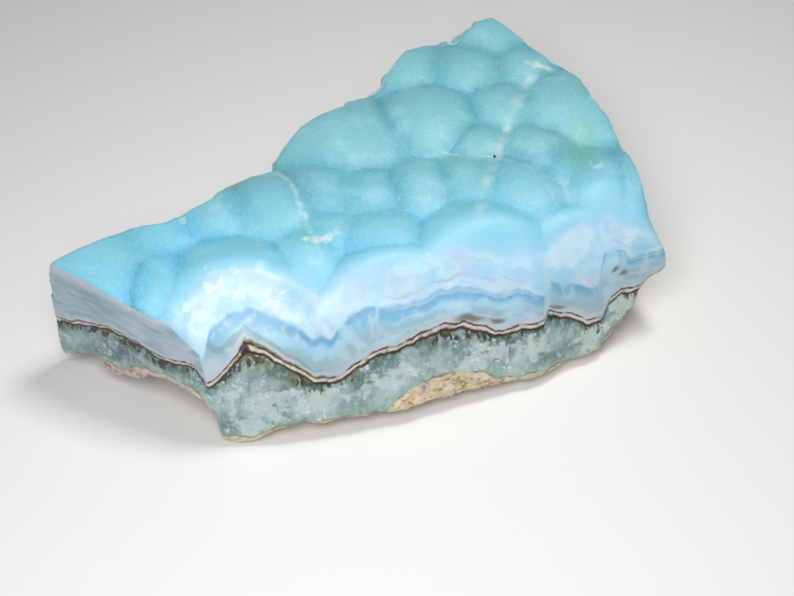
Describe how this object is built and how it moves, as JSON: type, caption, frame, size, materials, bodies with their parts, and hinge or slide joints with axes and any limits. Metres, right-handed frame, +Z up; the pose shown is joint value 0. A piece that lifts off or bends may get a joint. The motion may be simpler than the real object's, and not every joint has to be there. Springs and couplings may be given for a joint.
{
  "type": "blue aragonite specimen",
  "caption": "Slab of blue aragonite with a knobbly turquoise crust on top and its layers showing on flat cut sides.",
  "frame": {"origin": "middle of the slab's footprint, on the surface it rests on", "axes": "+Z up through the crust, +X along the slab's length towards the right tip, -Y towards the cut front with the layers"},
  "size_m": [0.107, 0.0848, 0.0279],
  "materials": {
    "aragonite": "waxy, slightly translucent"
  },
  "bodies": {
    "root": {"aragonite_slab": "aragonite"}
  },
  "joints": []
}
